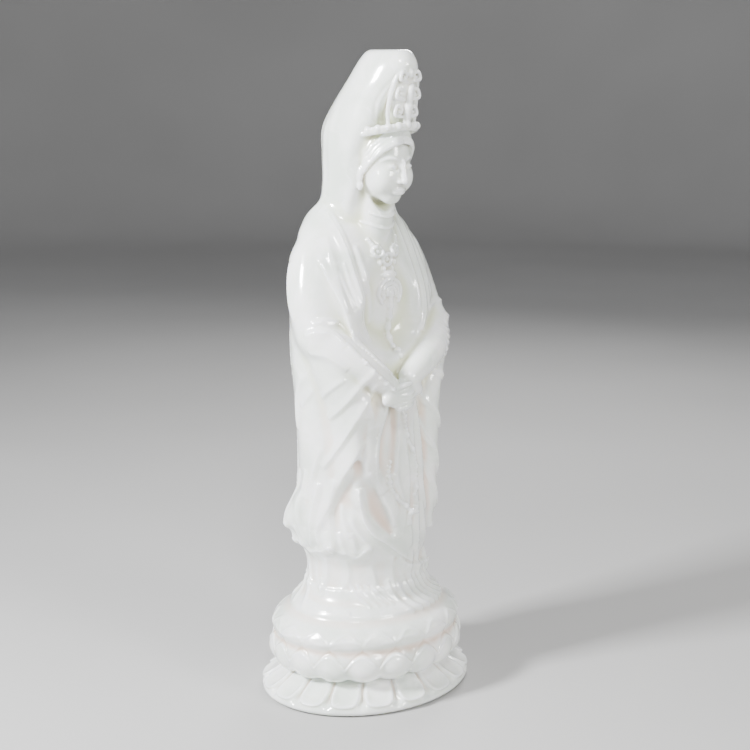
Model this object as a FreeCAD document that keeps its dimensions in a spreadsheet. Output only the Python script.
import FreeCAD, Part
import os

import Sketcher

# A standing robed figurine in pale jade, hooded, with its hands together at the waist, on an oval
# lotus pedestal in two tiers. The figure and the throne under it are one carved stone. The foot is a
# second stone, bonded to it with a thin resin film, and a felt pad lies in a recess under the foot.
# Frame: millimetres, +Z up, the figure faces -Y, origin in the middle of the felt's underside.

TURN = 360

# Driving dimensions. Each entry becomes one cell of the sheet, with this name as its alias.
SIZES = {
    # felt pad and the recess it is glued into
    "pad_half_width": 44.0,
    "pad_half_depth": 35.5,
    "pad_thickness": 1.6,
    "pad_proud": 0.6,
    "pad_gap": 0.25,
    # both pedestal tiers are turned round and then narrowed front to back
    "oval_ratio": 0.832,
    "petal_count": 18,
    # foot, with petals turned down
    "foot_rim_radius": 53.4,
    "foot_rim_height": 3.4,
    "foot_waist_radius": 48.0,
    "foot_waist_height": 8.6,
    "foot_neck_radius": 43.6,
    "foot_top": 14.0,
    "foot_petal_length": 9.4,
    "foot_petal_width": 8.9,
    "foot_petal_swell": 3.4,
    "foot_petal_radius": 47.4,
    "foot_petal_height": 7.0,
    "foot_petal_tilt": 46.0,
    # throne, with petals turned up and a mound on top
    "bond_film": 0.3,
    "throne_neck_radius": 44.4,
    "throne_belly_radius": 48.2,
    "throne_belly_height": 22.5,
    "throne_groove_radius": 47.6,
    "throne_groove_height": 31.0,
    "throne_lip_radius": 48.6,
    "throne_lip_height": 34.6,
    "mound_foot_radius": 45.0,
    "mound_foot_height": 39.5,
    "mound_top_radius": 33.5,
    "mound_top": 50.0,
    "throne_petal_length": 8.2,
    "throne_petal_width": 8.7,
    "throne_petal_swell": 5.6,
    "throne_petal_radius": 44.6,
    "throne_petal_height": 22.6,
    # the resin film stops short of the edge of the joint
    "bond_margin": 3.0,
    # cutting tools: how far one runs past a face it opens, and the height of a trimming block
    "tool_overrun": 5.0,
    "trim_height": 20.0,
    # head, set back into the opening of the hood
    "face_width": 13.8,
    "face_depth": 15.0,
    "face_height": 18.5,
    "face_forward": 7.0,
    "face_centre": 252.0,
    "opening_width": 13.6,
    "opening_depth": 9.0,
    "opening_height": 22.0,
    "opening_forward": 24.0,
    # hands laid together and the forearms that carry them
    "hands_width": 12.0,
    "hands_depth": 8.5,
    "hands_height": 9.0,
    "hands_forward": 29.0,
    "hands_centre": 150.0,
    "forearm_reach": 20.5,
    "forearm_depth": 10.5,
    "forearm_height": 12.0,
    "forearm_side": 19.5,
    "forearm_forward": 16.5,
    "forearm_centre": 158.0,
    "forearm_turn": 26.0,
    # crown in front of the hair knot
    "crown_width": 10.0,
    "crown_depth": 4.5,
    "crown_height": 10.0,
    "crown_forward": 25.0,
    "crown_centre": 286.5,
}

# Horizontal oval sections of each lofted form: height, half width, half depth, centre in X, centre
# in Y. Negative Y is the front.
ROBE = {
    "sole": (47.0, 30.5, 26.0, 0, 0),
    "ankle": (63.0, 29.8, 25.8, 0, 0),
    "hem": (74.0, 37.5, 30.0, 0, 2),
    "knee": (94.0, 35.5, 28.5, 0, 1),
    "thigh": (128.0, 37.5, 27.5, 0, 1),
    "hip": (160.0, 40.5, 27.0, 0, 2),
    "waist": (190.0, 40.0, 24.0, 0, 4),
    "chest": (205.0, 37.0, 21.5, 0, 5.5),
    "shoulder": (217.0, 31.5, 18.5, 0, 7.5),
    "nape": (226.0, 22.0, 15.5, 0, 9),
    "neck": (232.0, 15.0, 13.0, 0, 7),
}
HOOD = {
    "cape": (219.0, 21.0, 14.0, 0, 10),
    "nape": (230.0, 17.5, 15.5, 0, 7),
    "cheek": (240.0, 18.0, 19.5, 0, 1.5),
    "temple": (254.0, 19.0, 22.2, 0, -1.3),
    "brow": (265.0, 18.8, 22.2, 0, -2.3),
    "bun": (277.0, 16.2, 19.6, 0, -6),
    "peak": (288.0, 13.2, 17.0, 0, -11.5),
    "crest": (300.0, 7.4, 9.8, 0, -14.3),
}
SLEEVE = {
    "elbow": (180.0, 3.5, 4.0, 32, -3),
    "bend": (170.0, 8.5, 9.5, 30, -7),
    "cuff": (154.0, 12.0, 13.5, 25, -11.5),
    "drop": (126.0, 12.0, 15.5, 23, -12),
    "fall": (100.0, 10.0, 13.5, 24, -9),
    "tip": (84.0, 6.5, 9.0, 26, -4),
}

doc = FreeCAD.newDocument("figurine")
sheet = doc.addObject("Spreadsheet::Sheet", "sizes")
row_count = 0


def add_cell(alias, value):
    """Writes one number into the next row of the sheet and names it."""
    global row_count
    row_count += 1
    sheet.set(f"A{row_count}", alias)
    sheet.set(f"B{row_count}", repr(float(value)))
    sheet.setAlias(f"B{row_count}", alias)


def add_section_cells(form, sections):
    """Writes the five numbers of each section of a lofted form."""
    for name, numbers in sections.items():
        for part, value in zip(("z", "half_x", "half_y", "mid_x", "mid_y"), numbers):
            add_cell(f"{form}_{name}_{part}", value)


for alias, value in SIZES.items():
    add_cell(alias, value)
add_section_cells("robe", ROBE)
add_section_cells("hood", HOOD)
add_section_cells("sleeve", SLEEVE)
doc.recompute()


def size(alias):
    """The number in a named cell."""
    return float(sheet.get(alias))


def total(aliases):
    """The sum of some named cells, which is zero for none."""
    return sum(size(alias) for alias in aliases)


def total_expression(aliases):
    """The expression that adds the same cells."""
    return " + ".join(f"sizes.{alias}" for alias in aliases)


def bind(thing, **properties):
    """Ties properties of a feature to expressions of cells: double underscores stand for dots."""
    for name, expression in properties.items():
        thing.setExpression(name.replace("__", "."), expression)


def origin_plane(body, role):
    """One of a body's own origin planes or axes."""
    return next(f for f in body.Origin.OriginFeatures if f.Role == role)


def new_body(name):
    """An empty PartDesign body."""
    return doc.addObject("PartDesign::Body", name)


def profile_sketch(body, name, corners):
    """A closed half profile on the XZ plane. A corner's radius and height are each a sum of cells."""
    sketch = body.newObject("Sketcher::SketchObject", name)
    sketch.AttachmentSupport = [(origin_plane(body, "XZ_Plane"), "")]
    sketch.MapMode = "FlatFace"
    count = len(corners)
    values = [(total(radius), total(height)) for radius, height in corners]
    for i, (radius, height) in enumerate(values):
        end_radius, end_height = values[(i + 1) % count]
        sketch.addGeometry(
            Part.LineSegment(FreeCAD.Vector(radius, height, 0), FreeCAD.Vector(end_radius, end_height, 0))
        )
    for i in range(count):
        sketch.addConstraint(Sketcher.Constraint("Coincident", i, 2, (i + 1) % count, 1))
    for i, (radius, height) in enumerate(corners):
        if radius:
            at = sketch.addConstraint(Sketcher.Constraint("DistanceX", -1, 1, i, 1, values[i][0]))
            bind(sketch, **{f"Constraints[{at}]": total_expression(radius)})
        else:
            sketch.addConstraint(Sketcher.Constraint("PointOnObject", i, 1, -2))
        at = sketch.addConstraint(Sketcher.Constraint("DistanceY", -1, 1, i, 1, values[i][1]))
        bind(sketch, **{f"Constraints[{at}]": total_expression(height)})
    return sketch


def oval_sketch(body, name, form, section, side=1):
    """A horizontal ellipse at a section of a lofted form. side mirrors its centre in X."""
    key = f"{form}_{section}"
    half_x, half_y = size(f"{key}_half_x"), size(f"{key}_half_y")
    mid_x, mid_y = side * size(f"{key}_mid_x"), size(f"{key}_mid_y")
    sketch = body.newObject("Sketcher::SketchObject", name)
    sketch.AttachmentSupport = [(origin_plane(body, "XY_Plane"), "")]
    sketch.MapMode = "FlatFace"
    bind(
        sketch,
        AttachmentOffset__Base__z=f"sizes.{key}_z",
        AttachmentOffset__Base__y=f"sizes.{key}_mid_y",
        AttachmentOffset__Base__x=f"{side} * sizes.{key}_mid_x",
    )
    sketch.AttachmentOffset = FreeCAD.Placement(
        FreeCAD.Vector(mid_x, mid_y, size(f"{key}_z")), FreeCAD.Rotation()
    )
    wide = half_x >= half_y
    centre = FreeCAD.Vector(0, 0, 0)
    major = FreeCAD.Vector(half_x, 0, 0) if wide else FreeCAD.Vector(0, half_y, 0)
    minor = FreeCAD.Vector(0, half_y, 0) if wide else FreeCAD.Vector(-half_x, 0, 0)
    sketch.addGeometry(Part.Ellipse(major, minor, centre))
    sketch.exposeInternalGeometry(0)
    sketch.addConstraint(Sketcher.Constraint("Coincident", 0, 3, -1, 1))
    sketch.addConstraint(Sketcher.Constraint("Horizontal" if wide else "Vertical", 1))
    long_half, short_half = ("half_x", "half_y") if wide else ("half_y", "half_x")
    for line, half in ((1, long_half), (2, short_half)):
        at = sketch.addConstraint(
            Sketcher.Constraint("Distance", line, 1, line, 2, 2 * size(f"{key}_{half}"))
        )
        bind(sketch, **{f"Constraints[{at}]": f"2 * sizes.{key}_{half}"})
    return sketch


def oval_loft(body, name, form, sections, side=1):
    """A smooth loft through every section of a form."""
    sketches = [
        oval_sketch(body, f"{name}_{section}", form, section, side) for section in sections
    ]
    loft = body.newObject("PartDesign::AdditiveLoft", name)
    loft.Profile = sketches[0]
    loft.Sections = sketches[1:]
    loft.Ruled = False
    doc.recompute()
    return loft


def ellipsoid(body, kind, name, radii, place):
    """An added or cut ellipsoid. radii and place are expressions for X, Y and Z."""
    feature = body.newObject(f"PartDesign::{kind}Ellipsoid", name)
    feature.AttachmentSupport = [(origin_plane(body, "XY_Plane"), "")]
    feature.MapMode = "FlatFace"
    # FreeCAD's Radius1 lies along Z, Radius2 along X and Radius3 along Y.
    bind(
        feature,
        Radius2=radii[0],
        Radius3=radii[1],
        Radius1=radii[2],
        AttachmentOffset__Base__x=place[0],
        AttachmentOffset__Base__y=place[1],
        AttachmentOffset__Base__z=place[2],
    )
    doc.recompute()
    return feature


def forearm(body, name, side):
    """A forearm from one elbow in towards the hands, level, turned about the upright axis."""
    arm = ellipsoid(
        body,
        "Additive",
        name,
        ("sizes.forearm_reach", "sizes.forearm_depth", "sizes.forearm_height"),
        (f"{side} * sizes.forearm_side", "-sizes.forearm_forward", "sizes.forearm_centre"),
    )
    arm.AttachmentOffset = FreeCAD.Placement(
        arm.AttachmentOffset.Base,
        FreeCAD.Rotation(FreeCAD.Vector(0, 0, side), size("forearm_turn")),
    )
    bind(arm, AttachmentOffset__Rotation__Angle="sizes.forearm_turn")
    doc.recompute()
    return arm


def petals(body, sketch, name, feature):
    """Repeats a petal round the sketch's vertical axis."""
    pattern = body.newObject("PartDesign::PolarPattern", name)
    pattern.Originals = [feature]
    pattern.Axis = (sketch, ["V_Axis"])
    pattern.Angle = TURN
    bind(pattern, Occurrences="sizes.petal_count")
    body.Tip = pattern
    doc.recompute()
    return pattern


def narrowed(name, base):
    """The round stone narrowed front to back into its oval."""
    oval = doc.addObject("Part::Scale", name)
    oval.Base = base
    oval.Uniform = False
    oval.XScale = 1
    oval.ZScale = 1
    bind(oval, YScale="sizes.oval_ratio")
    return oval


def oval_disc(name, half_x, half_y, height, bottom):
    """A flat oval disc."""
    outline = doc.addObject("Part::Ellipse", f"{name}_outline")
    bind(outline, MajorRadius=half_x, MinorRadius=half_y, Placement__Base__z=bottom)
    disc = doc.addObject("Part::Extrusion", f"{name}_disc")
    disc.Base = outline
    disc.DirMode = "Custom"
    disc.Dir = FreeCAD.Vector(0, 0, 1)
    disc.Solid = True
    bind(disc, LengthFwd=height)
    return disc


def trim_block(name, bottom):
    """A block, wider than the foot, that trims its petals level."""
    wide = "2 * sizes.foot_rim_radius"
    return oval_disc(name, wide, wide, "sizes.trim_height", bottom)


def make_felt_pad():
    """The felt pad, standing a little proud of the foot's recess."""
    pad = oval_disc("felt_pad", "sizes.pad_half_width", "sizes.pad_half_depth", "sizes.pad_thickness", "0")
    pad.Label = "felt_pad"
    return pad


def make_lotus_foot():
    """The lower tier: a flared foot with its petals turned down."""
    body = new_body("foot_round")
    sketch = profile_sketch(
        body,
        "foot_profile",
        [
            ((), ("pad_proud",)),
            (("foot_rim_radius",), ("pad_proud",)),
            (("foot_rim_radius",), ("foot_rim_height",)),
            (("foot_waist_radius",), ("foot_waist_height",)),
            (("foot_neck_radius",), ("foot_top",)),
            ((), ("foot_top",)),
        ],
    )
    core = body.newObject("PartDesign::Revolution", "foot_core")
    core.Profile = sketch
    core.ReferenceAxis = (sketch, ["V_Axis"])
    core.Angle = TURN
    doc.recompute()
    petal = ellipsoid(
        body,
        "Additive",
        "foot_petal",
        ("sizes.foot_petal_length", "sizes.foot_petal_width", "sizes.foot_petal_swell"),
        ("sizes.foot_petal_radius", "0", "sizes.foot_petal_height"),
    )
    petal.AttachmentOffset = FreeCAD.Placement(
        petal.AttachmentOffset.Base,
        FreeCAD.Rotation(FreeCAD.Vector(0, 1, 0), size("foot_petal_tilt")),
    )
    bind(petal, AttachmentOffset__Rotation__Angle="sizes.foot_petal_tilt")
    petals(body, sketch, "foot_petals", petal)
    oval = narrowed("foot_oval", body)
    recess = oval_disc(
        "foot_recess",
        "sizes.pad_half_width + sizes.pad_gap",
        "sizes.pad_half_depth + sizes.pad_gap",
        "sizes.pad_thickness + sizes.tool_overrun",
        "-sizes.tool_overrun",
    )
    below = trim_block("foot_underside_trim", "sizes.pad_proud - sizes.trim_height")
    above = trim_block("foot_top_trim", "sizes.foot_top")
    tools = doc.addObject("Part::MultiFuse", "foot_tools")
    tools.Shapes = [recess, below, above]
    foot = doc.addObject("Part::Cut", "foot_cut")
    foot.Base = oval
    foot.Tool = tools
    foot.Label = "lotus_foot"
    return foot


def make_throne():
    """The upper tier: upright petals, a lip, and the mound under the robe's hem."""
    body = new_body("throne_round")
    underside = ("foot_top", "bond_film")
    sketch = profile_sketch(
        body,
        "throne_profile",
        [
            ((), underside),
            (("throne_neck_radius",), underside),
            (("throne_belly_radius",), ("throne_belly_height",)),
            (("throne_groove_radius",), ("throne_groove_height",)),
            (("throne_lip_radius",), ("throne_lip_height",)),
            (("mound_foot_radius",), ("mound_foot_height",)),
            (("mound_top_radius",), ("mound_top",)),
            ((), ("mound_top",)),
        ],
    )
    core = body.newObject("PartDesign::Revolution", "throne_core")
    core.Profile = sketch
    core.ReferenceAxis = (sketch, ["V_Axis"])
    core.Angle = TURN
    doc.recompute()
    petal = ellipsoid(
        body,
        "Additive",
        "throne_petal",
        ("sizes.throne_petal_swell", "sizes.throne_petal_width", "sizes.throne_petal_length"),
        ("sizes.throne_petal_radius", "0", "sizes.throne_petal_height"),
    )
    petals(body, sketch, "throne_petals", petal)
    return narrowed("throne_oval", body)


def make_base_bond():
    """The resin film between the foot and the throne."""
    film = oval_disc(
        "base_bond",
        "sizes.foot_neck_radius - sizes.bond_margin",
        "( sizes.foot_neck_radius - sizes.bond_margin ) * sizes.oval_ratio",
        "sizes.bond_film",
        "sizes.foot_top",
    )
    film.Label = "base_bond"
    return film


def make_figure():
    """The robed figure, from a sole sunk in the mound to the flat crest of the hood."""
    body = new_body("figure_form")
    oval_loft(body, "robe", "robe", ROBE)
    oval_loft(body, "right_sleeve", "sleeve", SLEEVE, side=-1)
    oval_loft(body, "left_sleeve", "sleeve", SLEEVE, side=1)
    oval_loft(body, "hood", "hood", HOOD)
    ellipsoid(
        body,
        "Subtractive",
        "face_opening",
        ("sizes.opening_width", "sizes.opening_depth", "sizes.opening_height"),
        ("0", "-sizes.opening_forward", "sizes.face_centre"),
    )
    ellipsoid(
        body,
        "Additive",
        "head",
        ("sizes.face_width", "sizes.face_depth", "sizes.face_height"),
        ("0", "-sizes.face_forward", "sizes.face_centre"),
    )
    forearm(body, "right_forearm", -1)
    forearm(body, "left_forearm", 1)
    ellipsoid(
        body,
        "Additive",
        "joined_hands",
        ("sizes.hands_width", "sizes.hands_depth", "sizes.hands_height"),
        ("0", "-sizes.hands_forward", "sizes.hands_centre"),
    )
    ellipsoid(
        body,
        "Additive",
        "crown",
        ("sizes.crown_width", "sizes.crown_depth", "sizes.crown_height"),
        ("0", "-sizes.crown_forward", "sizes.crown_centre"),
    )
    return body


def make_figure_and_throne():
    """The upper stone: the figure and the throne, carved from one block."""
    stone = doc.addObject("Part::MultiFuse", "upper_stone")
    stone.Shapes = [make_throne(), make_figure()]
    stone.Label = "figure_and_throne"
    return stone


def check(parts):
    """Stops the script if any object failed or any sub-part isn't a sound solid."""
    for thing in doc.Objects:
        failed = {"Invalid", "Error"} & set(thing.State)
        if failed:
            raise RuntimeError(f"{thing.Name} is {thing.State}")
    for part in parts:
        shape = part.Shape
        if shape.isNull() or not shape.isValid() or not shape.Solids:
            raise RuntimeError(f"{part.Label} has no valid solid")


sub_parts = [
    make_felt_pad(),
    make_lotus_foot(),
    make_base_bond(),
    make_figure_and_throne(),
]
doc.recompute()
check(sub_parts)
os.makedirs("parts", exist_ok=True)
for part in sub_parts:
    part.Shape.exportStep(f"parts/{part.Label}.step")
    print(part.Label, round(part.Shape.Volume), len(part.Shape.Solids), "solids")
